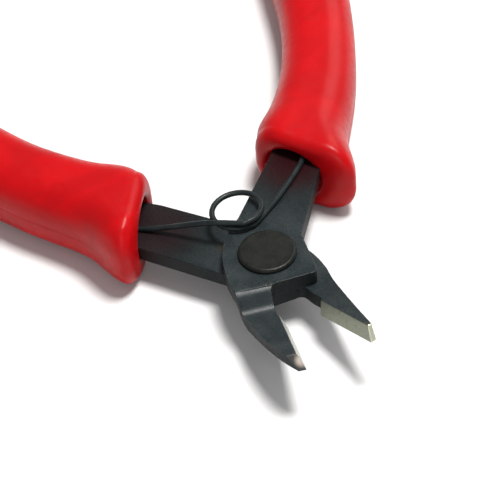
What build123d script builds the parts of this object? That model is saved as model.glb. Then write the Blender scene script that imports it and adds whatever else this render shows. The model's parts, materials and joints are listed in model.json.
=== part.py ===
from build123d import *
import os
from math import cos, radians, sin, tan

# Flush cutter: two stamped steel levers on a rivet, a one-loop wire spring and two moulded grips.
# Millimetres and degrees.  X points to the jaw tips along the centreline, Y to the lower lever's jaw,
# Z up out of the rivet head.  The origin is the centre of the flat disc on the rivet's tail side.
# Levers and grips are drawn closed, then turned open about the rivet.  side is +1 for the lower
# lever, with its jaw on +Y and its handle on -Y, and -1 for the upper lever, which is the other way.

# ---- plates and pivot ----
plate = 2.4              # thickness of each stamped lever
slide_gap = 0.03         # play between the lower lever and what it slides on
washer_height = 1.0
washer_radius = 4.1
washer_rim = 0.3
shoulder_radius = 2.5    # the rivet's turned bearing, through both levers
running_clearance = 0.05
tenon_radius = 1.6       # tail of the rivet, peened over inside the disc
tenon_play = 0.02
head_radius = 4.25
head_height = 0.7
head_rim = 0.5
open_half_angle = 12.5   # each lever's turn from closed to relaxed

lower_mid = washer_height + slide_gap + plate / 2    # mid height of the lower plate
mate_z = washer_height + 2 * slide_gap + plate       # underside of the upper plate
upper_mid = mate_z + plate / 2
head_z = mate_z + plate                              # top face of the upper plate

# ---- lever outline, closed, as for side +1 ----
blank_height = 10.0      # of the blank that each folded lever is cut from
tip_x = 22.6
lower_tip_width = 1.0
upper_tip_width = 0.1    # at the height of the disc, widening upwards like the bulge
edge_start_x = 11.6      # where the ground cutting edge begins
edge_step = 1.2          # the step from the throat wall to the edge slants over this length
edge_play = 0.02         # left between the edges when closed
throat_wall_y = 1.2
throat_x = 6.0
lower_boss_y = 6.3
upper_boss_y = 6.6
shank_end_x = 96.0
lower_jaw_bulge = 3.1    # Y of the jaw's outer side, two thirds of the way to the tip
upper_jaw_bulge = 3.55   # at the height of the disc, widening upwards
upper_jaw_draft = 0.2    # how much wider the upper jaw gets per millimetre of height

# ---- folds of the jaws, as distances along X ----
jaw_rise = 16.7          # the jaws slope up from the plates
bend_x = 8.35
joggle_start_x = 6.9     # the upper jaw steps down one plate thickness
joggle_end_x = 8.5
# Fold radii as (upper face, lower face) of the sheet.
bend_radii = (6.0, 8.0)
joggle_start_radii = (2.4, 0.8)
joggle_end_radii = (2.0, 2.5)

# ---- ground faces ----
lower_bevel_top_y = 0.65 # how far the bevel leans back over one plate thickness
upper_bevel_top_y = 0.95
tip_slope_run = 1.8      # how far the end facet leans back over one plate thickness

# ---- spring ----
wire_radius = 0.42
wire_lift = 0.02         # from the steel under it
coil_x = -9.3
coil_y = -0.3
coil_radius = 3.65
coil_start = -26.0       # angle where the left leg joins the loop
coil_sweep = 423.0       # one turn and the angle between the legs
coil_corners = 9
coil_lift = 0.95         # the upper end of the loop above the lower end
hook_hole_radius = 0.75
hook_depth = 1.8
hook_bend = 0.8
hook_distance = 30.0     # of the hooked wire ends from the pivot, along the handles
wire_channel = 0.12      # room round the wire inside the grips

# ---- grips ----
rest_below_mate = 6.3    # flat underside of the grips below the joint plane
underside_trim = 0.15
pocket_depth = 7.0
rest_z = mate_z - rest_below_mate

# Each grip section: distance along the spine, tilt, outer and inner half widths, half height.
grip_sections = [
    (1.3, 14.0, 8.6, 6.1, 5.9),
    (3.0, 14.0, 9.6, 7.0, 6.3),
    (5.2, 10.0, 8.5, 7.5, 6.3),
    (8.0, 5.0, 6.6, 7.4, 6.2),
    (12.0, 0.0, 5.7, 7.0, 6.0),
    (17.0, 0.0, 5.5, 6.7, 5.9),
    (23.0, 0.0, 5.4, 6.4, 5.8),
    (30.0, 0.0, 5.4, 6.2, 5.8),
    (38.0, 0.0, 5.6, 6.1, 5.9),
    (47.0, 0.0, 5.9, 6.2, 6.0),
    (57.0, 0.0, 6.0, 6.1, 6.0),
    (67.0, 0.0, 5.8, 5.9, 5.9),
    (76.0, 0.0, 5.3, 5.4, 5.6),
    (84.0, 0.0, 4.7, 4.8, 5.2),
    (89.5, 0.0, 3.6, 3.6, 4.4),
    (91.0, 0.0, 2.2, 2.2, 3.0),
]
grip_corner = 0.8        # corner radius of a section, as a share of its smaller half
grip_spine_points = [(-16.8, -7.7), (-30.0, -14.6), (-50.0, -20.2), (-75.0, -21.6), (-110.0, -17.0)]
grip_start_slope = 28.7  # the shank's direction at the mouth
lower_grip_shift = 0.6   # the lower grip sits this much further back
lower_grip_offset = -0.6 # outwards from the spine
upper_grip_offset = 0.3
mouth_x = -0.4           # centre of the mouth's oval, outwards from the shank's middle line
mouth_z = -0.7           # and above the joint plane
mouth_half_width = 4.8
mouth_half_height = 4.4


def swung(point, angle):
    """A point turned about the pivot."""
    x, y = point
    turn = radians(angle)
    return x * cos(turn) - y * sin(turn), x * sin(turn) + y * cos(turn)


def opened(shape, side):
    """Turns a closed shape to its relaxed, open place."""
    return Rot(0, 0, side * open_half_angle) * shape


def lever_outline(side, widening):
    """Flat outline of a closed lever; the jaw's outer side is widened by this much."""
    def at(x, y):
        return x, side * y

    edge_y = edge_play / 2
    step_x = edge_start_x - edge_step
    boss_y = lower_boss_y if side > 0 else upper_boss_y
    jaw_foot = at(6.0, boss_y - 0.4)
    boss_side = at(1.5, boss_y)
    boss_back = at(-8.2, 2.4)
    inner_end = at(-shank_end_x, -16.4)
    outer_end = at(-shank_end_x, -21.6)
    outer_bend = at(-17.0, -12.6)
    waist = at(-2.3, -5.6)
    throat = at(throat_x, 0)
    wall = at(throat_x + 1.2, throat_wall_y)
    if side > 0:
        bulge = lower_jaw_bulge
        tip_width = lower_tip_width
        inner_bend = at(-20.5, -4.0)
        front = at(5.1, -3.2)
        # The lower plate's corner is turned round, to pass under the upper jaw's step.
        nose = [ThreePointArc(waist, at(2.4, -5.4), front)]
    else:
        bulge = upper_jaw_bulge
        tip_width = upper_tip_width
        inner_bend = at(-19.5, -5.0)
        corner = at(4.6, -6.0)
        front = at(5.6, -4.9)
        nose = [Line(waist, corner), ThreePointArc(corner, at(5.35, -5.7), front)]
    bulge += widening
    tip_width += widening
    edges = [
        ThreePointArc(at(tip_x, tip_width), at(15.0, bulge), jaw_foot),
        ThreePointArc(jaw_foot, at(4.0, boss_y - 0.05), boss_side),
        ThreePointArc(boss_side, at(-3.8, 5.5), boss_back),
        Line(boss_back, inner_bend),
        ThreePointArc(inner_bend, at(-50.0, -17.2), inner_end),
        ThreePointArc(inner_end, at(-shank_end_x - 2.4, -19.0), outer_end),
        ThreePointArc(outer_end, at(-50.0, -23.2), outer_bend),
        Line(outer_bend, waist),
    ]
    edges += nose
    edges += [
        Line(front, throat),
        ThreePointArc(throat, at(throat_x + 0.35, 0.85), wall),
        Line(wall, at(step_x, throat_wall_y)),
        Line(at(step_x, throat_wall_y), at(edge_start_x, edge_y)),
        Line(at(edge_start_x, edge_y), at(tip_x, edge_y)),
        Line(at(tip_x, edge_y), at(tip_x, tip_width)),
    ]
    return make_face(Wire(edges))


def jaw_height(x):
    """Mid height, at distance x, of the slope that both jaws share."""
    return lower_mid + (x - bend_x) * tan(radians(jaw_rise))


def side_profile(side):
    """The folded sheet seen from the side: a line of heights, thickened up and down."""
    if side > 0:
        folds = [(-120, lower_mid), (bend_x, lower_mid), (40, jaw_height(40))]
    else:
        step_end = (joggle_end_x, jaw_height(joggle_end_x))
        folds = [(-120, upper_mid), (joggle_start_x, upper_mid), step_end, (40, jaw_height(40))]
    top = [(x, z + plate / 2) for x, z in folds]
    bottom = [(x, z - plate / 2) for x, z in reversed(folds)]
    face = Plane.XZ * make_face(Polyline(top + bottom, close=True))
    radii = {bend_x: bend_radii, joggle_start_x: joggle_start_radii, joggle_end_x: joggle_end_radii}
    for x, _ in folds[1:-1]:
        for radius, end in zip(radii[x], (-1, 0)):
            corners = [vertex for vertex in face.vertices() if abs(vertex.X - x) < 0.001]
            corners.sort(key=lambda vertex: vertex.Z)
            face = fillet(corners[end], radius)
    return face


def grind(lever, side):
    """Cuts the bevel beside the cutting edge and the facet across the tip."""
    edge_z = jaw_height(tip_x) - plate / 2
    along = Vector(cos(radians(jaw_rise)), 0, sin(radians(jaw_rise)))
    top_y = lower_bevel_top_y if side > 0 else upper_bevel_top_y
    lean = Vector(0, side * top_y, plate)
    edge_end = (tip_x, side * edge_play / 2, edge_z)
    bevel = Plane(origin=edge_end, x_dir=along, z_dir=along.cross(lean) * side)
    facet = Plane(origin=edge_end, x_dir=(0, 1, 0), z_dir=(plate, 0, tip_slope_run))
    lever -= bevel * Pos(-4, 0, 5) * Box(18, 12, 10)
    return lever - facet * Pos(0, 0, 5) * Box(30, 14, 10)


def bore(radius, x, y):
    return Pos(x, y, mate_z) * Cylinder(radius, 6 * plate)


def shank_point(side, distance):
    """A point on the closed shank's middle line, this far along the handle."""
    return -distance * cos(radians(25.0)), side * (-distance * sin(radians(25.0)) - 0.9)


def make_lever(side):
    draft = 0.0 if side > 0 else upper_jaw_draft
    foot = lever_outline(side, 0.0)
    crown = Pos(0, 0, blank_height) * lever_outline(side, draft * blank_height)
    lever = loft([foot, crown], ruled=True) & extrude(side_profile(side), 40, both=True)
    lever = grind(lever, side)
    pivot_radius = shoulder_radius + running_clearance if side > 0 else shoulder_radius
    return lever - bore(pivot_radius, 0, 0) - bore(hook_hole_radius, *shank_point(side, hook_distance))


def make_rivet():
    head = Pos(0, 0, head_z + head_height / 2) * Cylinder(head_radius, head_height)
    rim = head.edges().filter_by(GeomType.CIRCLE).sort_by(Axis.Z)[-1]
    head = fillet(rim, head_rim)
    shoulder_height = head_z - washer_height
    shoulder = Pos(0, 0, washer_height + shoulder_height / 2) * Cylinder(shoulder_radius, shoulder_height)
    tenon = Pos(0, 0, washer_height / 2) * Cylinder(tenon_radius, washer_height)
    return head + shoulder + tenon


def make_washer():
    disc = Pos(0, 0, washer_height / 2) * Cylinder(washer_radius, washer_height)
    rim = disc.edges().filter_by(GeomType.CIRCLE).sort_by(Axis.Z)[0]
    disc = fillet(rim, washer_rim)
    return disc - Pos(0, 0, washer_height / 2) * Cylinder(tenon_radius + tenon_play, 2 * washer_height)


def wire_path():
    """One loop, a leg to each handle, and an end hooked down into each shank."""
    upper_z = head_z + wire_radius + wire_lift
    lower_z = mate_z - slide_gap + wire_radius + wire_lift
    step = coil_sweep / coil_corners
    reach = coil_radius / cos(radians(step / 2))
    loop = []
    for index in range(coil_corners):
        turn = radians(coil_start + (index + 0.5) * step)
        height = upper_z + coil_lift * (1 - (index + 0.5) / coil_corners)
        loop.append((coil_x + reach * cos(turn), coil_y + reach * sin(turn), height))
    left = swung(shank_point(1, hook_distance), open_half_angle)
    right = swung(shank_point(-1, hook_distance), -open_half_angle)
    left_leg = [
        (*left, lower_z - hook_depth),
        (*left, lower_z),
        (-14.9, -11.8, lower_z),
        (-9.6, -6.0, upper_z + 0.35),
    ]
    right_leg = [
        (-12.8, 11.0, upper_z),
        (*right, upper_z),
        (*right, upper_z - hook_depth),
    ]
    corner_radii = [hook_bend, 4.0, 6.0] + [0.9 * coil_radius] * coil_corners + [6.0, hook_bend]
    return FilletPolyline(*left_leg, *loop, *right_leg, radius=corner_radii)


def make_wire(radius):
    path = wire_path()
    return sweep(Plane(origin=path @ 0, z_dir=path % 0) * Circle(radius), path=path)


def grip_plane(spine, side, distance, height):
    """A plane across the handle, its x pointing outwards."""
    place = spine.position_at(distance / spine.length)
    run = spine.tangent_at(distance / spine.length)
    outward = (-side * run.Y, side * run.X, 0)
    return Plane(origin=(place.X, place.Y, height), x_dir=outward, z_dir=(run.X, run.Y, 0))


def make_grip(side, lever, channel):
    """A grip moulded round the shank, with a pocket where the shank and the wire come out."""
    slope = radians(grip_start_slope)
    start_run = (-cos(slope), -side * sin(slope))
    points = [(x, side * y) for x, y in grip_spine_points]
    spine = Spline(points, tangents=[start_run, (-1, side * 0.15)])
    shift = lower_grip_shift if side > 0 else 0.0
    middle = lower_grip_offset if side > 0 else upper_grip_offset
    sections = []
    for distance, tilt, outer, inner, half_height in grip_sections:
        height = rest_z - underside_trim + half_height
        corner = grip_corner * min((outer + inner) / 2, half_height)
        outline = RectangleRounded(outer + inner, 2 * half_height, corner)
        outline = Pos(middle + (outer - inner) / 2, 0) * outline
        sections.append(grip_plane(spine, side, distance + shift, height) * Rot(0, tilt, 0) * outline)
    grip = loft(sections)
    grip -= Pos(-60, 0, rest_z - 5) * Box(160, 100, 10)
    shank_mid = lower_mid if side > 0 else upper_mid
    first_distance, first_tilt = grip_sections[0][:2]
    mouth_plane = grip_plane(spine, side, first_distance + shift, mate_z + mouth_z)
    mouth_plane = mouth_plane * Rot(0, first_tilt, 0) * Pos(mouth_x, 0)
    mouth = mouth_plane * Ellipse(mouth_half_width, mouth_half_height)
    back = grip_plane(spine, side, pocket_depth + shift, shank_mid + 0.2) * Ellipse(4.4, 2.2)
    grip = grip - loft([mouth, back]) - lever
    return opened(grip, side) - channel


lower_lever = make_lever(1)
upper_lever = make_lever(-1)
channel = make_wire(wire_radius + wire_channel)

parts = {
    "lower_blade": opened(lower_lever, 1),
    "upper_blade": opened(upper_lever, -1),
    "pivot_rivet": make_rivet(),
    "rivet_washer": make_washer(),
    "return_spring": make_wire(wire_radius),
    "lower_grip": make_grip(1, lower_lever, channel),
    "upper_grip": make_grip(-1, upper_lever, channel),
}

os.makedirs("parts", exist_ok=True)
for node, shape in parts.items():
    export_step(shape, f"parts/{node}.step")
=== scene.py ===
import bmesh
import bpy
import json
from math import cos, exp, pi, radians, sin, tan
from mathutils import Matrix, Vector, noise
from mathutils.bvhtree import BVHTree


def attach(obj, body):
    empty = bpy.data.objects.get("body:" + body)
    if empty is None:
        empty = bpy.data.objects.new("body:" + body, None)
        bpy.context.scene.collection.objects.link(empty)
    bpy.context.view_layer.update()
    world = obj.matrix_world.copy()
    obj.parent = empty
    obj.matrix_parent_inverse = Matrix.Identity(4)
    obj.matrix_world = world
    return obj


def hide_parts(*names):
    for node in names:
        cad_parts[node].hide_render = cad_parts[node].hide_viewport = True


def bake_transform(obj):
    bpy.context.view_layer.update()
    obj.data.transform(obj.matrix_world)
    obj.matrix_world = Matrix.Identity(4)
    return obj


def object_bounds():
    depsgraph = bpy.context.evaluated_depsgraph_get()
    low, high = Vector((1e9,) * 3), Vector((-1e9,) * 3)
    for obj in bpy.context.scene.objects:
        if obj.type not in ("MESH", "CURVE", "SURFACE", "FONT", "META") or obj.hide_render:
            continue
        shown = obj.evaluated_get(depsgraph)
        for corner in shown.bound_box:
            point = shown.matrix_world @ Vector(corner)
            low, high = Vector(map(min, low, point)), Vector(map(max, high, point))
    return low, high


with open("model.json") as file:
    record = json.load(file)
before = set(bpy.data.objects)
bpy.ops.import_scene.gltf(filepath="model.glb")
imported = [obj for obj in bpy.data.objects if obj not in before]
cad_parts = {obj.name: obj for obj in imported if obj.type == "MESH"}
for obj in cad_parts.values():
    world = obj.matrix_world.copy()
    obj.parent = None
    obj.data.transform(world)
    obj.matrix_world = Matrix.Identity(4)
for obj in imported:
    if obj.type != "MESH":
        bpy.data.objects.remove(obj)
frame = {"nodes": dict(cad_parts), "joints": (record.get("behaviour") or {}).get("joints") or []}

# Looks of the flush cutter.  Places are in the CAD part's own frame: X to the jaw tips, Y to the
# lower lever's jaw, Z out of the rivet head.  side is +1 for the lower lever and -1 for the upper
# one, as in the part's source.  Blender wants metres; everything named without a unit is in
# millimetres and is scaled by MM where it is used.

MM = 0.001
UP = Vector((0, 0, 1))
cad_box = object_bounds()
nodes = frame["nodes"]
pivot = Vector(frame["joints"][0]["pos_m"])

# Dimensions shared with the part's source.
HALF_OPENING = radians(12.5)
SHANK_ANGLE = radians(25.0)      # of the straight shanks, when closed
PLATE = 2.4
MATE_Z = 3.46                    # where the two plates meet
LOWER_MID_Z = 2.23
BEND_X = 8.35
JAW_RISE = radians(16.7)
TIP_X = 22.6
EDGE_PLAY = 0.02
BEVEL_LEAN = {1: 0.65, -1: 0.95}
FACET_RUN = 1.8


def opened(side):
    """Turns a place of the closed tool to where it is with the tool open."""
    return Matrix.Rotation(side * HALF_OPENING, 3, "Z")


# ---------------------------------------------------------------- camera, lights and floor
CAMERA_AZIMUTH = radians(67.2)
CAMERA_ELEVATION = radians(45.3)
CAMERA_ROLL = radians(4.8)
CAMERA_DISTANCE_M = 0.300
LENS = 157.5
SHIFT = (-0.0591, 0.0523)
# Name, place and size in metres, watts and colour.
LIGHTS = [
    ("overhead", (0.01, 0.14, 0.58), 0.18, 5.2, (1.0, 0.99, 0.97)),
    ("front", (0.55, -0.30, 0.30), 0.40, 1.0, (0.97, 0.98, 1.0)),
    ("back", (-0.30, 0.45, 0.35), 0.35, 0.8, (1.0, 0.98, 0.96)),
]
WORLD_STRENGTH = 0.33
FLOOR_HALF_M = 3.0
FLOOR_COLOUR = (0.68, 0.68, 0.68, 1)


def make_camera():
    back = Vector((
        sin(CAMERA_AZIMUTH) * cos(CAMERA_ELEVATION),
        -cos(CAMERA_AZIMUTH) * cos(CAMERA_ELEVATION),
        sin(CAMERA_ELEVATION),
    ))
    level = UP.cross(back).normalized()
    rise = back.cross(level)
    right = level * cos(CAMERA_ROLL) - rise * sin(CAMERA_ROLL)
    up = level * sin(CAMERA_ROLL) + rise * cos(CAMERA_ROLL)
    data = bpy.data.cameras.new("camera")
    data.lens = LENS
    data.sensor_width = 36.0
    data.shift_x, data.shift_y = SHIFT
    data.clip_start = 0.01
    data.clip_end = 10.0
    camera = bpy.data.objects.new("camera", data)
    turn = Matrix((right, up, back)).transposed().to_4x4()
    camera.matrix_world = Matrix.Translation(pivot + back * CAMERA_DISTANCE_M) @ turn
    bpy.context.scene.collection.objects.link(camera)
    bpy.context.scene.camera = camera


def make_lights():
    for name, place, size, watts, colour in LIGHTS:
        data = bpy.data.lights.new(name, "AREA")
        data.shape = "DISK"
        data.size = size
        data.energy = watts
        data.color = colour
        light = bpy.data.objects.new(name, data)
        light.location = place
        light.rotation_euler = (-Vector(place)).to_track_quat("-Z", "Y").to_euler()
        bpy.context.scene.collection.objects.link(light)
    world = bpy.data.worlds.new("studio")
    world.use_nodes = True
    background = world.node_tree.nodes["Background"]
    background.inputs["Color"].default_value = (1, 1, 1, 1)
    background.inputs["Strength"].default_value = WORLD_STRENGTH
    bpy.context.scene.world = world
    bpy.context.scene.view_settings.view_transform = "Standard"


def make_floor():
    half = FLOOR_HALF_M
    z = cad_box[0].z
    corners = [(-half, -half, z), (half, -half, z), (half, half, z), (-half, half, z)]
    mesh = bpy.data.meshes.new("floor")
    mesh.from_pydata(corners, [], [(0, 1, 2, 3)])
    floor = bpy.data.objects.new("floor", mesh)
    bpy.context.scene.collection.objects.link(floor)
    mesh.materials.append(Graph("floor").finish(Base_Color=FLOOR_COLOUR, Roughness=0.8))


# ---------------------------------------------------------------- material nodes
class Graph:
    """A material and short ways to add nodes to it.  A value may be a number, a colour or a socket."""

    def __init__(self, name):
        self.material = bpy.data.materials.new(name)
        self.material.use_nodes = True
        self.tree = self.material.node_tree
        self.shader = self.tree.nodes["Principled BSDF"]

    def node(self, kind, inputs, output=0, **settings):
        node = self.tree.nodes.new(kind)
        for key, value in settings.items():
            setattr(node, key, value)
        for key, value in inputs.items():
            self.put(node.inputs[key], value)
        return node.outputs[output]

    def put(self, socket, value):
        if isinstance(value, bpy.types.NodeSocket):
            self.tree.links.new(value, socket)
        else:
            socket.default_value = value

    def math(self, operation, first, second=0.0, clamp=False):
        inputs = {0: first, 1: second}
        return self.node("ShaderNodeMath", inputs, operation=operation, use_clamp=clamp)

    def times(self, first, second):
        return self.math("MULTIPLY", first, second)

    def blend(self, share, first, second):
        """The second colour over the first one."""
        inputs = {0: share, 6: first, 7: second}
        return self.node("ShaderNodeMix", inputs, output=2, data_type="RGBA")

    def ramp(self, value, low, high, to_low=0.0, to_high=1.0):
        inputs = {0: value, 1: low, 2: high, 3: to_low, 4: to_high}
        return self.node("ShaderNodeMapRange", inputs, interpolation_type="SMOOTHSTEP")

    def noise(self, place, scale, detail=4.0, rough=0.55, distortion=0.0):
        inputs = {
            "Vector": place, "Scale": scale, "Detail": detail,
            "Roughness": rough, "Distortion": distortion,
        }
        return self.node("ShaderNodeTexNoise", inputs)

    def place(self):
        """Place on the object, in millimetres."""
        spot = self.node("ShaderNodeTexCoord", {}, output=3)
        return self.stretch(spot, (1000, 1000, 1000))

    def stretch(self, place, factors):
        return self.node("ShaderNodeVectorMath", {0: place, 1: factors}, operation="MULTIPLY")

    def reach(self, place, point):
        """Distance from a point."""
        inputs = {0: place, 1: tuple(point)}
        return self.node("ShaderNodeVectorMath", inputs, output=1, operation="DISTANCE")

    def off_plane(self, place, direction, offset):
        """Distance from a plane, on either side."""
        inputs = {0: place, 1: tuple(direction)}
        along = self.node("ShaderNodeVectorMath", inputs, output=1, operation="DOT_PRODUCT")
        return self.math("ABSOLUTE", self.math("SUBTRACT", along, offset))

    def upright(self):
        """How far the surface faces up or down, from 0 to 1."""
        normal = self.node("ShaderNodeNewGeometry", {}, output=1)
        return self.math("ABSOLUTE", self.node("ShaderNodeSeparateXYZ", {0: normal}, output=2))

    def edges(self, radius):
        """1 on the sharp edges of the shape and 0 on its flats."""
        rounded = self.node("ShaderNodeBevel", {"Radius": radius * MM}, samples=6)
        true = self.node("ShaderNodeNewGeometry", {}, output=1)
        inputs = {0: rounded, 1: true}
        match = self.node("ShaderNodeVectorMath", inputs, output=1, operation="DOT_PRODUCT")
        return self.math("SUBTRACT", 1.0, match, clamp=True)

    def bump(self, height, strength, distance, before=None):
        inputs = {"Height": height, "Strength": strength, "Distance": distance * MM}
        if before is not None:
            inputs["Normal"] = before
        return self.node("ShaderNodeBump", inputs)

    def specular(self, level):
        self.shader.inputs["Specular IOR Level"].default_value = level

    def finish(self, **inputs):
        for key, value in inputs.items():
            self.put(self.shader.inputs[key.replace("_", " ")], value)
        return self.material


# ---------------------------------------------------------------- blackened levers with ground jaws
OXIDE_DARK = (0.0120, 0.0175, 0.0195, 1)
OXIDE_LIGHT = (0.0230, 0.0290, 0.0305, 1)
OXIDE_CLOUD = (0.038, 0.0360, 0.030, 1)
# painted shade for the levers' side faces
WALL_PAINTED_SHADE = (0.0030, 0.0042, 0.0048, 1)
# painted shade on the shank near the grip
PAINTED_SHADE_NEAR_GRIP = (0.0060, 0.0080, 0.0088, 1)
# rubbed edges, and near the throat also a painted highlight
RUBBED_EDGE_AND_HIGHLIGHT = (0.12, 0.12, 0.11, 1)
SPECK = (0.11, 0.12, 0.115, 1)
SCRATCH = (0.035, 0.038, 0.038, 1)
GRIP_RED_REFLECTION = (0.0170, 0.0022, 0.0030, 1)      # painted reflection of the grip's red on the shank beside it
GRIP_RED_REFLECTION_SHARE = {1: 0.45, -1: 0.92}
THROAT = (6.5, 0.6, 5.9)                     # the edge above the throat is rubbed most and carries a painted highlight
RUST = (0.036, 0.019, 0.011, 1)
# The rust mark on the lower shank, beside the upper plate: its run, and its middle along and across it.
RUST_RUN = (0.848, -0.530, 0)
RUST_ACROSS = (0.530, 0.848, 0)
RUST_MIDDLE = (-3.19, -7.30)
STEEL_DARK = (0.245, 0.262, 0.205, 1)
STEEL_LIGHT = (0.35, 0.37, 0.295, 1)
STEEL_STAIN = (0.18, 0.165, 0.125, 1)
STEEL_LIGHTER_BEVEL = (0.82, 0.82, 0.76, 1)       # the upper jaw's bevel, lighter than the lower one's
FACET = {1: (0.80, 0.81, 0.65, 1), -1: (0.66, 0.57, 0.50, 1)}
HEAT = (0.17, 0.125, 0.095, 1)
EDGE_REACH = 13.5                            # the ground faces go no further from the tip


def edge_end(side):
    """The outer end of the cutting edge, with the tool closed."""
    height = LOWER_MID_Z + (TIP_X - BEND_X) * tan(JAW_RISE) - PLATE / 2
    return Vector((TIP_X, side * EDGE_PLAY / 2, height))


def ground_planes(side):
    """The directions out of the two ground faces that meet in the edge's end: bevel and facet."""
    slope = Vector((cos(JAW_RISE), 0, sin(JAW_RISE)))
    lean = Vector((0, side * BEVEL_LEAN[side], PLATE))
    bevel = slope.cross(lean).normalized() * side
    facet = Vector((PLATE, 0, FACET_RUN)).normalized()
    return opened(side) @ bevel, opened(side) @ facet


def oxide_finish(g, place, fine, wall, rub):
    """Clouded black oxide with painted shade on the cut walls, rubbed along the edges and with a painted
    highlight on the edge above the throat, pitted and scratched.
    """
    cloud = g.noise(place, 0.22, 5.0, 0.6)
    oxide = g.blend(g.ramp(cloud, 0.35, 0.65), OXIDE_DARK, OXIDE_LIGHT)
    oxide = g.blend(g.ramp(fine, 0.56, 0.74, 0.0, 0.55), oxide, OXIDE_CLOUD)
    # painted shade: the side faces are darkened
    oxide = g.blend(wall, oxide, WALL_PAINTED_SHADE)
    # painted highlight: the rubbed-edge colour is strongest on the edge above the throat
    throat = g.ramp(g.reach(place, THROAT), 3.0, 5.5, 0.9, 0.45)
    oxide = g.blend(g.times(rub, throat), oxide, RUBBED_EDGE_AND_HIGHLIGHT)
    specks = g.ramp(g.noise(place, 5.5, 3.0, 0.65), 0.61, 0.68, 0.0, 0.45)
    oxide = g.blend(specks, oxide, SPECK)
    streak = g.noise(g.stretch(place, (0.5, 5.5, 0.6)), 1.1, 3.0, 0.5)
    return g.blend(g.ramp(streak, 0.69, 0.72, 0.0, 0.35), oxide, SCRATCH)


def beside_grip(g, place, side, oxide):
    """Painted shade on the shank towards the grip, and a painted reflection of the grip's red on it."""
    x, y = SPINE[0]
    mouth = opened(side) @ Vector((x, side * y, 3.0))
    # painted shade: the shank darkens towards the grip's mouth
    shade = g.ramp(g.reach(place, mouth), 5.0, 14.0, 0.75, 0.0)
    oxide = g.blend(shade, oxide, PAINTED_SHADE_NEAR_GRIP)
    # painted reflection: the grip's red on the shank near its mouth
    red_reflection = g.ramp(g.reach(place, mouth), 3.0, 8.0, 1.0, 0.0)
    return g.blend(g.times(red_reflection, GRIP_RED_REFLECTION_SHARE[side]), oxide, GRIP_RED_REFLECTION)


def rust_mark(g, place, fine, oxide):
    length = g.off_plane(place, RUST_RUN, RUST_MIDDLE[0])
    width = g.off_plane(place, RUST_ACROSS, RUST_MIDDLE[1])
    stain = g.times(g.ramp(length, 0.5, 1.5, 1.0, 0.0), g.ramp(width, 0.08, 0.36, 0.75, 0.0))
    stain = g.times(stain, g.ramp(fine, 0.36, 0.58, 0.15, 1.0))
    return g.blend(stain, oxide, RUST)


def ground_masks(g, place, side, end):
    """Where the steel is bare, and which of that is the facet."""
    masks = []
    for way in ground_planes(side):
        away = g.off_plane(place, way, way.dot(end))
        masks.append(g.ramp(away, 0.03, 0.09, 1.0, 0.0))
    bevel, facet = masks
    bare_facet = facet
    if side < 0:
        # The upper jaw's facet has darkened again, apart from a patch on its inner edge.
        patch = end + opened(side) @ Vector((-0.9, side * 0.45, PLATE / 2))
        bare_facet = g.times(facet, g.ramp(g.reach(place, patch), 0.35, 1.25, 1.0, 0.03))
    near_tip = g.ramp(g.reach(place, end), EDGE_REACH, EDGE_REACH + 0.5, 1.0, 0.0)
    return g.times(g.math("MAXIMUM", bevel, bare_facet), near_tip), facet


def bare_steel(g, place, side, lines, facet):
    """Steel with fine grinding lines."""
    silver = g.blend(g.ramp(lines, 0.3, 0.7), STEEL_DARK, STEEL_LIGHT)
    stain = g.ramp(g.noise(place, 0.9, 4.0, 0.6), 0.5, 0.72, 0.0, 0.5)
    silver = g.blend(stain, silver, STEEL_STAIN)
    if side < 0:
        silver = g.blend(g.ramp(lines, 0.3, 0.7, 0.6, 0.9), silver, STEEL_LIGHTER_BEVEL)
    return g.blend(facet, silver, FACET[side])


def heated_tip(g, place, side, end, fine, bare, colour):
    """The brown patch that grinding left beside the facet."""
    middle = end + Vector((-0.9, -side * 0.3, 1.6))
    heat = g.ramp(g.reach(place, middle), 0.7, 2.0, 0.8, 0.0)
    heat = g.times(heat, g.ramp(fine, 0.30, 0.62, 0.25, 1.0))
    heat = g.times(heat, g.math("SUBTRACT", 1.0, bare))
    return g.blend(heat, colour, HEAT)


def blackened_steel(name, side):
    """Black oxide over rolled steel, with the jaw's bare ground faces."""
    g = Graph(name)
    place = g.place()
    end = opened(side) @ edge_end(side)
    fine = g.noise(place, 2.6, 6.0, 0.62)
    # the side faces: they get painted shade in the colour and more roughness
    wall = g.ramp(g.upright(), 0.25, 0.60, 0.8, 0.0)
    rub = g.times(g.ramp(g.edges(0.3), 0.02, 0.35), g.ramp(fine, 0.36, 0.62, 0.25, 1.0))
    lines = g.noise(g.stretch(place, (14.0, 14.0, 0.5)), 1.2, 3.0, 0.6)

    colour = oxide_finish(g, place, fine, wall, rub)
    colour = beside_grip(g, place, side, colour)
    if side > 0:
        colour = rust_mark(g, place, fine, colour)
    bare, facet = ground_masks(g, place, side, end)
    colour = g.blend(bare, colour, bare_steel(g, place, side, lines, facet))
    colour = heated_tip(g, place, side, end, fine, bare, colour)

    satin = g.ramp(fine, 0.3, 0.7, 0.25, 0.36)
    satin = g.math("SUBTRACT", satin, g.times(rub, 0.10))
    satin = g.math("ADD", satin, g.times(wall, 0.35))
    ground = g.ramp(lines, 0.3, 0.7, 0.26, 0.40)
    rough = g.node("ShaderNodeMix", {0: bare, 2: satin, 3: ground}, data_type="FLOAT")
    grain = g.noise(g.stretch(place, (3.0, 3.0, 9.0)), 4.0, 4.0, 0.7)
    relief = g.bump(grain, 0.22, 0.06)
    relief = g.bump(g.times(lines, bare), 0.35, 0.05, relief)
    g.specular(0.16)
    return g.finish(Base_Color=colour, Metallic=g.times(bare, 0.92), Roughness=rough, Normal=relief)


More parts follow.
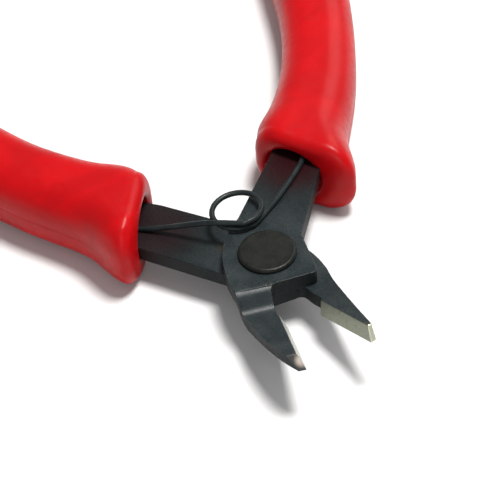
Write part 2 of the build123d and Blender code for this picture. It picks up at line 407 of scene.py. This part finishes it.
# ---------------------------------------------------------------- other steel
def dark_steel(name, low, high, wear, roughness, grain_scale):
    """Turned or drawn steel with a dark finish."""
    g = Graph(name)
    place = g.place()
    cloud = g.noise(place, 0.5, 5.0, 0.6)
    fine = g.noise(place, grain_scale, 6.0, 0.65)
    colour = g.blend(g.ramp(cloud, 0.35, 0.65), (*low, 1), (*high, 1))
    specks = g.ramp(fine, 0.58, 0.72, 0.0, 0.6)
    colour = g.blend(specks, colour, (high[0] * 2.2, high[1] * 2.0, high[2] * 1.7, 1))
    rub = g.times(g.ramp(g.edges(0.25), 0.02, 0.30), g.ramp(fine, 0.35, 0.65, 0.2, 1.0))
    colour = g.blend(g.times(rub, 0.7), colour, (*wear, 1))
    rough = g.ramp(fine, 0.3, 0.7, roughness - 0.07, roughness + 0.08)
    g.specular(0.19)
    return g.finish(Base_Color=colour, Roughness=rough, Normal=g.bump(fine, 0.30, 0.06))


def rivet_steel():
    low = (0.0040, 0.0050, 0.0040)
    high = (0.0090, 0.0098, 0.0078)
    return dark_steel("rivet_steel", low, high, (0.085, 0.080, 0.066), 0.40, 3.4)


def washer_steel():
    low = (0.013, 0.0140, 0.0135)
    high = (0.022, 0.0225, 0.0210)
    return dark_steel("washer_steel", low, high, (0.13, 0.13, 0.12), 0.42, 3.0)


def spring_wire():
    low = (0.0080, 0.0120, 0.0130)
    high = (0.0150, 0.0200, 0.0210)
    return dark_steel("spring_wire", low, high, (0.06, 0.07, 0.07), 0.34, 5.0)


# ---------------------------------------------------------------- grip plastic
RED_DARK = (0.36, 0.0014, 0.0032, 1)
RED_LIGHT = (0.42, 0.0016, 0.0036, 1)
RED_MOTTLE = (0.30, 0.0026, 0.0075, 1)
# lighter pink for the rims: rubbing and dust, and a painted sheen
RED_RIM_WEAR_AND_SHEEN = (0.55, 0.04, 0.045, 1)


def red_plastic(name):
    """Moulded soft PVC: a fine eggshell surface, faint flow marks, and lighter pink rims, partly rubbed
    and slightly dusty, partly a painted sheen.
    """
    g = Graph(name)
    place = g.place()
    flow = g.noise(g.stretch(place, (1.0, 0.6, 1.3)), 0.16, 3.0, 0.5, 0.6)
    mottle = g.noise(place, 1.1, 4.0, 0.55)
    shell = g.noise(place, 7.0, 3.0, 0.6)
    colour = g.blend(g.ramp(flow, 0.35, 0.65), RED_DARK, RED_LIGHT)
    colour = g.blend(g.ramp(mottle, 0.55, 0.75, 0.0, 0.35), colour, RED_MOTTLE)
    rub = g.times(g.ramp(g.edges(0.6), 0.02, 0.30), g.ramp(mottle, 0.4, 0.6, 0.3, 1.0))
    # painted sheen as well as wear: the rims are lighter pink
    colour = g.blend(g.times(rub, 0.5), colour, RED_RIM_WEAR_AND_SHEEN)
    rough = g.ramp(mottle, 0.3, 0.7, 0.30, 0.42)
    relief = g.bump(shell, 0.12, 0.05)
    relief = g.bump(mottle, 0.15, 0.15, relief)
    g.specular(0.16)
    g.shader.inputs["Subsurface Weight"].default_value = 0.06
    g.shader.inputs["Subsurface Radius"].default_value = (1.0, 0.12, 0.08)
    g.shader.inputs["Subsurface Scale"].default_value = 1.2 * MM
    return g.finish(Base_Color=colour, Roughness=rough, Normal=relief)


# ---------------------------------------------------------------- CAD steel, with eased edges
LEVER_EDGE = 0.18
RIVET_EDGE = 0.10


def dress(node, material, edge):
    """Gives a CAD node its material and breaks its sharp edges."""
    obj = nodes[node]
    obj.data.materials.clear()
    obj.data.materials.append(material)
    weld = obj.modifiers.new("weld", "WELD")
    weld.merge_threshold = 2e-6
    flats = obj.modifiers.new("flats", "DECIMATE")
    flats.decimate_type = "DISSOLVE"
    flats.angle_limit = radians(0.4)
    bevel = obj.modifiers.new("edges", "BEVEL")
    bevel.width = edge * MM
    bevel.segments = 3
    bevel.limit_method = "ANGLE"
    bevel.angle_limit = radians(32)
    bevel.use_clamp_overlap = True
    normals = obj.modifiers.new("normals", "WEIGHTED_NORMAL")
    normals.keep_sharp = False
    for face in obj.data.polygons:
        face.use_smooth = True


# ---------------------------------------------------------------- mesh building
def smooth_path(points, steps):
    """A smooth line through the points."""
    line = []
    last = len(points) - 1
    for index in range(last):
        before = points[max(index - 1, 0)]
        start = points[index]
        end = points[index + 1]
        after = points[min(index + 2, last)]
        for step in range(steps):
            t = step / steps
            line.append(0.5 * (
                2 * start
                + (end - before) * t
                + (2 * before - 5 * start + 4 * end - after) * t ** 2
                + (3 * start - before - 3 * end + after) * t ** 3
            ))
    line.append(points[-1])
    return line


def skin(shape, loops):
    """Faces between each loop and the next."""
    for loop, after in zip(loops, loops[1:]):
        count = len(loop)
        for step in range(count):
            ahead = (step + 1) % count
            shape.faces.new((loop[step], loop[ahead], after[ahead], after[step]))


def close(shape, loop):
    """A fan of faces over the opening of a loop."""
    middle = Vector((0, 0, 0))
    for vert in loop:
        middle += vert.co
    centre = shape.verts.new(middle / len(loop))
    for step in range(len(loop)):
        shape.faces.new((loop[step], loop[(step + 1) % len(loop)], centre))


def to_object(name, shape, material):
    bmesh.ops.recalc_face_normals(shape, faces=shape.faces)
    mesh = bpy.data.meshes.new(name)
    shape.to_mesh(mesh)
    shape.free()
    for face in mesh.polygons:
        face.use_smooth = True
    mesh.materials.append(material)
    obj = bpy.data.objects.new(name, mesh)
    bpy.context.scene.collection.objects.link(obj)
    return obj


DOME = (0.2, 0.7, 1.15)      # angles of the rings that round off a wire's end


def tube(name, line, radius, around, material):
    """A round wire along the line, with domed ends."""
    runs = []
    for index in range(len(line)):
        ahead = line[min(index + 1, len(line) - 1)]
        behind = line[max(index - 1, 0)]
        runs.append((ahead - behind).normalized())
    across = runs[0].orthogonal().normalized()
    rings = []
    for index, (place, run) in enumerate(zip(line, runs)):
        across = (across - run * across.dot(run)).normalized()
        if index == 0:
            rings += [(place, run, across, radius * sin(a), -radius * cos(a)) for a in DOME]
        rings.append((place, run, across, radius, 0.0))
        if index == len(line) - 1:
            rings += [(place, run, across, radius * sin(a), radius * cos(a)) for a in reversed(DOME)]
    shape = bmesh.new()
    loops = []
    for place, run, across, size, shift in rings:
        other = run.cross(across)
        loop = []
        for step in range(around):
            turn = 2 * pi * step / around
            spoke = across * cos(turn) + other * sin(turn)
            loop.append(shape.verts.new(place + run * shift + spoke * size))
        loops.append(loop)
    skin(shape, loops)
    shape.faces.new(reversed(loops[0]))
    shape.faces.new(loops[-1])
    return to_object(name, shape, material)


# ---------------------------------------------------------------- wire spring
WIRE_RADIUS = 0.42
COIL = Vector((-9.3, -0.3, 0))
COIL_RADIUS = 3.65
COIL_START = -26.0                      # in degrees
COIL_SWEEP = 423.0
COIL_BOTTOM = 6.32
COIL_RISE = 0.95
COIL_TILT = Vector((-0.07, -0.04))      # how the loop leans: lower at the back left, higher in front
COIL_POINTS = 32
TILT_FADE = 10                          # the lean dies out over the last points of the loop
LOWER_LEG_Z = 3.85
HOOK_DISTANCE = 30                      # of the hooks' holes along the shanks
HOOK_OFFSET = 0.9                       # and off the line through the pivot
HOOK_DEPTH = 1.8
HOOK_BEND = 0.7                         # from the leg down to the straight part of the hook


def hook_hole(side):
    """Where a hook enters its shank, at no height."""
    x = -HOOK_DISTANCE * cos(SHANK_ANGLE)
    y = -HOOK_DISTANCE * sin(SHANK_ANGLE) - HOOK_OFFSET
    return opened(side) @ Vector((x, side * y, 0))


def coil_points():
    points = []
    for index in range(1, COIL_POINTS):
        turn = radians(COIL_START + COIL_SWEEP * index / COIL_POINTS)
        spoke = Vector((cos(turn), sin(turn), 0)) * COIL_RADIUS
        height = COIL_BOTTOM + COIL_RISE * (1 - index / COIL_POINTS)
        lean = COIL_TILT.dot(spoke.xy) * min(1, (COIL_POINTS - index) / TILT_FADE)
        points.append(COIL + spoke + Vector((0, 0, max(height - lean, COIL_BOTTOM))))
    return points


def make_spring(material):
    """The wire, from the hook in the lower shank round the loop to the hook in the upper one."""
    lower = hook_hole(1) + UP * LOWER_LEG_Z
    upper = hook_hole(-1) + UP * COIL_BOTTOM
    points = [
        lower - UP * HOOK_DEPTH,
        lower - UP * HOOK_BEND,
        lower + Vector((0.3, 0.4, -0.1)),
        lower + Vector((1.2, 1.5, 0)),
        Vector((-17.2, -14.9, LOWER_LEG_Z)),
        Vector((-15.2, -12.6, LOWER_LEG_Z + 0.02)),
        Vector((-13.5, -10.4, 4.45)),
        Vector((-11.6, -8.2, 5.45)),
        Vector((-9.7, -6.1, 6.45)),
        Vector((-7.9, -4.1, 7.2)),
    ]
    points += coil_points()
    points += [
        Vector((-8.3, 5.0, COIL_BOTTOM)),
        Vector((-10.4, 7.95, COIL_BOTTOM)),
        Vector((-12.8, 11.0, COIL_BOTTOM)),
        Vector((-15.2, 13.4, COIL_BOTTOM)),
        upper + Vector((1.3, -1.2, 0)),
        upper + Vector((0.35, -0.3, -0.1)),
        upper - UP * HOOK_BEND,
        upper - UP * HOOK_DEPTH,
    ]
    line = smooth_path([point * MM for point in points], 6)
    spring = tube("wire_spring", line, WIRE_RADIUS * MM, 16, material)
    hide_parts("return_spring")
    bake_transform(spring)


# ---------------------------------------------------------------- grips
# The grips' middle line with the tool closed, as (x, y) for side +1, and its slope at the start.
SPINE = [(-16.8, -7.7), (-30.0, -14.6), (-50.0, -20.2), (-75.0, -21.6), (-110.0, -17.0)]
SPINE_SLOPE = radians(28.7)
SPINE_LEAD = 13          # a point this far before the start only steers the line
SPINE_STEPS = 200
STATION = 0.5            # between the points kept on the line
GRIP_START = 1.3         # distances along the line
GRIP_LENGTH = 91.0
GRIP_SHIFT = {1: 0.6, -1: 0.0}
GRIP_MIDDLE = {1: -0.6, -1: 0.3}         # of the sections, outwards from the line
SECTION_Z = MATE_Z - 0.4
MOUTH_TILT = radians(14.0)               # the mouth slants back on its outer side
TILT_END = 12.0
TILT_HOLD = 3.0
MOUTH_MIDDLE = (-0.4, MATE_Z - 0.7)      # outwards and up
MOUTH_HALF = (4.8, 4.4)
POCKET_DEPTH = 7.0
POCKET_HALF = (4.4, 2.2)
POCKET_Z = {1: MATE_Z - 1.03, -1: MATE_Z + 1.4}
POCKET_RINGS = 9
LIP_DEPTH = 1.9          # the rounding down the outside
LIP_INSIDE = 0.6         # and into the pocket
LIP_CREST = 0.28         # where the lip is furthest forward, as a share of the wall
LIP_STEPS = 8
COLLAR_END = 14.0        # rings are closer together up to here
COLLAR_SPACING = 0.4
BODY_SPACING = 1.2
END_GAP = 0.25           # the last ring is this far before the CAD grip's end
GROOVE_DEPTH = 0.08      # of the mould's parting line
GROOVE_START = 3         # rings behind the lip
AROUND = 128
# Soft creases in the lower grip's collar, as start and end points.
CREASES = [
    (Vector((-13.6, -15.9, 9.5)), Vector((-11.95, -15.2, 7.3))),
    (Vector((-12.0, -18.6, 7.8)), Vector((-11.9, -16.8, 8.9))),
]
CREASE_HEIGHT = 0.24
CREASE_WIDTH = 0.55
SWELL_HEIGHT = 0.10
SWELL_INSET = 0.06
SWELL_SCALE = 0.16


class GripPath:
    """The middle line of one grip, with the tool open."""

    def __init__(self, side):
        self.side = side
        points = [Vector((x, side * y, MATE_Z)) for x, y in SPINE]
        before = points[0] + Vector((cos(SPINE_SLOPE), side * sin(SPINE_SLOPE), 0)) * SPINE_LEAD
        line = smooth_path([before] + points, SPINE_STEPS)[SPINE_STEPS:]
        line = [opened(side) @ point for point in line]
        self.line = [line[0]]
        travelled = 0.0
        for first, second in zip(line, line[1:]):
            travelled += (second - first).length
            if travelled >= len(self.line) * STATION:
                self.line.append(second)
        self.runs = [(ahead - behind).normalized() for behind, ahead in zip(self.line, self.line[1:])]

    def section(self, distance):
        """Middle of the section plane at a distance, and its directions outwards and along the handle."""
        last = len(self.runs) - 1
        index = min(max(distance, 0) / STATION, last - 0.001)
        whole = int(index)
        place = self.line[whole].lerp(self.line[whole + 1], index - whole)
        run = self.runs[whole].lerp(self.runs[min(whole + 1, last)], index - whole).normalized()
        outward = Vector((-self.side * run.y, self.side * run.x, 0))
        share = min(max((distance - TILT_HOLD) / (TILT_END - TILT_HOLD), 0), 1)
        tilt = MOUTH_TILT * (1 - smooth(share))
        place = place + outward * GRIP_MIDDLE[self.side]
        place.z = SECTION_Z
        return place, outward * cos(tilt) - run * sin(tilt), run * cos(tilt) + outward * sin(tilt)


def smooth(share):
    return share * share * (3 - 2 * share)


def oval(centre, outward, half_width, half_height):
    points = []
    for step in range(AROUND):
        turn = 2 * pi * step / AROUND
        points.append(centre + outward * (half_width * cos(turn)) + UP * (half_height * sin(turn)))
    return points


def cad_ring(path, outside, distance):
    """The CAD grip's outline at a distance, or None past its end."""
    place, outward, _ = path.section(distance)
    points = []
    for step in range(AROUND):
        turn = 2 * pi * step / AROUND
        way = outward * cos(turn) + UP * sin(turn)
        hit = outside.ray_cast((place + way * 16) * MM, -way)[0]
        if hit is None:
            return None
        points.append(hit / MM)
    return points


def pocket_rings(path, mouth, rim_back):
    """The hollow that the shank goes into, from its bottom to the mouth."""
    side = path.side
    place, outward, _ = path.section(POCKET_DEPTH + GRIP_SHIFT[side])
    place = place - outward * GRIP_MIDDLE[side]
    place.z = POCKET_Z[side]
    bottom = oval(place, outward, *POCKET_HALF)
    rings = []
    for index in range(POCKET_RINGS):
        share = smooth(index / POCKET_RINGS)
        rings.append([far.lerp(near + rim_back * LIP_INSIDE, share) for far, near in zip(bottom, mouth)])
    return rings


def lip_rings(mouth, outer, rim_back):
    """The lip, which turns tightly into the pocket and more slowly down the outside."""
    profile = []
    for index in range(LIP_STEPS):
        turn = pi / 2 * index / LIP_STEPS
        profile.append((LIP_CREST * (1 - cos(turn)), LIP_INSIDE * (1 - sin(turn))))
    for index in range(2 * LIP_STEPS + 1):
        turn = pi / 2 * (1 - index / (2 * LIP_STEPS))
        profile.append((LIP_CREST + (1 - LIP_CREST) * cos(turn), LIP_DEPTH * (1 - sin(turn))))
    rings = []
    for share, depth in profile:
        ring = []
        for inner_point, outer_point in zip(mouth, outer):
            near = outer_point - rim_back * LIP_DEPTH
            ring.append(inner_point.lerp(near, share) + rim_back * depth)
        rings.append(ring)
    return rings


def body_rings(path, outside, distance):
    """The rest of the outside, from a distance to the end of the grip."""
    end = GRIP_LENGTH + GRIP_SHIFT[path.side]
    rings = []
    while distance < end - 0.3:
        distance += COLLAR_SPACING if distance < COLLAR_END else BODY_SPACING
        ring = cad_ring(path, outside, min(distance, end - END_GAP))
        if ring is None:
            break
        rings.append(ring)
    return rings


def detail(point, side):
    """Small unevenness of a moulded surface, and the creases of the lower grip."""
    spot = point * SWELL_SCALE + Vector((7.0 * side, 0, 0))
    swell = noise.noise(spot) * SWELL_HEIGHT - SWELL_INSET
    if side > 0:
        for start, end in CREASES:
            away = (point - start).length + (point - end).length - (end - start).length
            swell += CREASE_HEIGHT * exp(-away / CREASE_WIDTH)
    return point + (UP if point.z > MATE_Z else -UP) * swell


def make_grip(name, side, node, body, material):
    """A grip that follows the CAD one's outside, with a rounded lip, a pocket and moulding detail."""
    outside = BVHTree.FromObject(nodes[node], bpy.context.evaluated_depsgraph_get())
    path = GripPath(side)
    first = GRIP_START + GRIP_SHIFT[side]
    rim_place, rim_out, rim_back = path.section(first)
    centre = rim_place + rim_out * (MOUTH_MIDDLE[0] - GRIP_MIDDLE[side])
    centre.z = MOUTH_MIDDLE[1]
    mouth = oval(centre, rim_out, *MOUTH_HALF)
    rings = pocket_rings(path, mouth, rim_back)
    rings += lip_rings(mouth, cad_ring(path, outside, first + LIP_DEPTH), rim_back)
    groove_start = len(rings) + GROOVE_START
    rings += body_rings(path, outside, first + LIP_DEPTH)

    shape = bmesh.new()
    lowest = cad_box[0].z / MM
    half_way = AROUND // 2
    loops = []
    for index, ring in enumerate(rings):
        loop = []
        for step, point in enumerate(ring):
            place = detail(point, side)
            if index >= groove_start and step % half_way == 0:
                opposite = ring[(step + half_way) % AROUND]
                place -= (point - opposite).normalized() * GROOVE_DEPTH
            place.z = max(place.z, lowest)
            loop.append(shape.verts.new(place * MM))
        loops.append(loop)
    skin(shape, loops)
    close(shape, loops[0])
    close(shape, loops[-1])
    grip = to_object(name, shape, material)
    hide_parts(node)
    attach(grip, body)


# ---------------------------------------------------------------- everything together
make_camera()
make_lights()
make_floor()

dress("lower_blade", blackened_steel("lower_blade_steel", 1), LEVER_EDGE)
dress("upper_blade", blackened_steel("upper_blade_steel", -1), LEVER_EDGE)
dress("pivot_rivet", rivet_steel(), RIVET_EDGE)
dress("rivet_washer", washer_steel(), RIVET_EDGE)
make_spring(spring_wire())
red = red_plastic("red_plastic")
make_grip("lower_grip_moulding", 1, "lower_grip", "lower_lever", red)
make_grip("upper_grip_moulding", -1, "upper_grip", "upper_lever", red)
